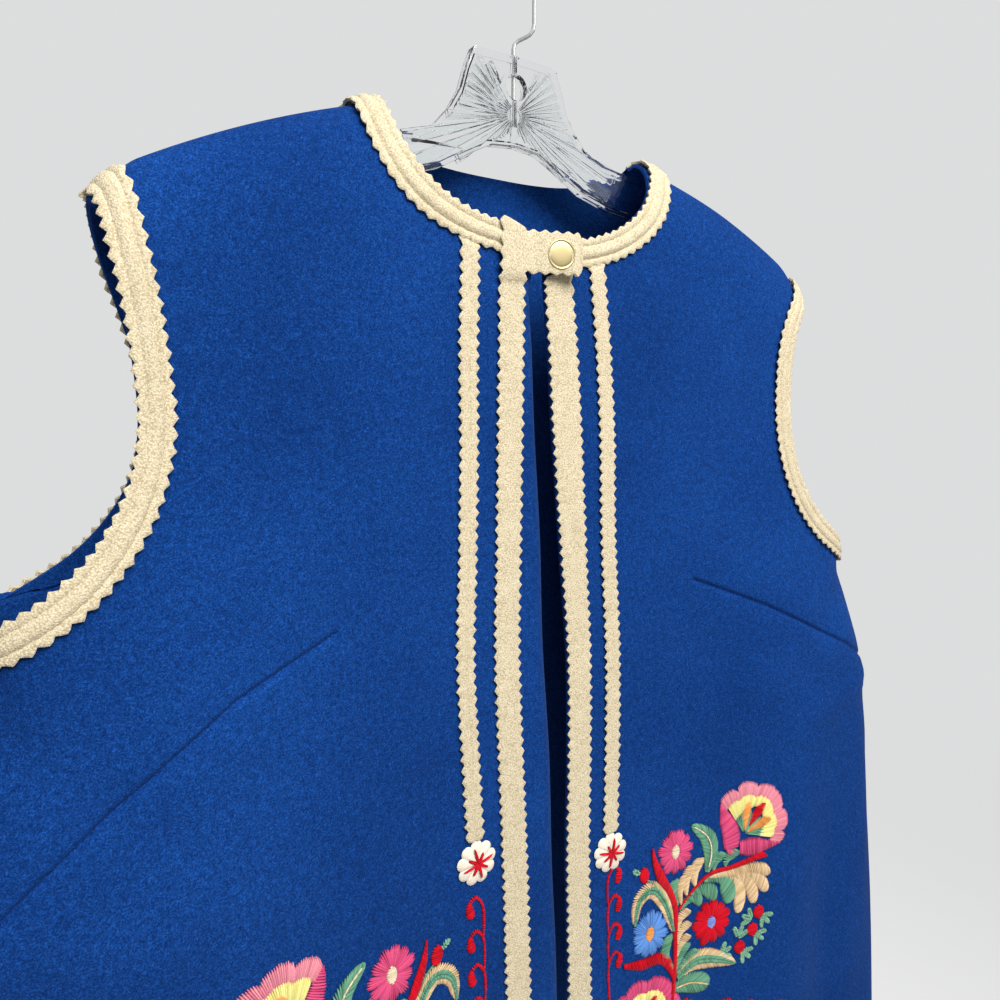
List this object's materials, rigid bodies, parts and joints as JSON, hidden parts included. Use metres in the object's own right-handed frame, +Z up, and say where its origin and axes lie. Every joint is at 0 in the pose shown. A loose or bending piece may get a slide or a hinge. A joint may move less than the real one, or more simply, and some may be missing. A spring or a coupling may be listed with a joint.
{
  "type": "embroidered folk vest on hanger",
  "caption": "Sleeveless folk vest of royal-blue fulled wool with pinked cream felt trims and a snap at the neck, hung on a clear plastic hanger.",
  "frame": {"origin": "inside top of the hanger's hook, where a rail or a wall hook holds it", "axes": "+Z up, the vest's front faces -Y, +X is the wearer's left"},
  "size_m": [0.621, 0.1156, 0.7061],
  "materials": {
    "wool": "fulled royal-blue wool, matt, short soft nap",
    "felt": "cream nubby wool felt, matt, pinked edges",
    "white_wool": "off-white wool yarn, satin stitched",
    "brass": "worn satin brass",
    "clear": "clear moulded polystyrene with fan ribs",
    "steel": "bright drawn steel wire"
  },
  "bodies": {
    "root": {"front_right": "wool", "front_left": "wool", "back": "wool", "neck_trim": "felt", "closure_tab": "felt", "edge_strip_right": "felt", "edge_strip_left": "felt", "inner_strip_right": "felt", "inner_strip_left": "felt", "armhole_trim_right": "felt", "armhole_trim_left": "felt", "rosette_right": "white_wool", "rosette_left": "white_wool", "snap_cap": "brass", "hanger_body": "clear", "hanger_hook": "steel"}
  },
  "joints": []
}
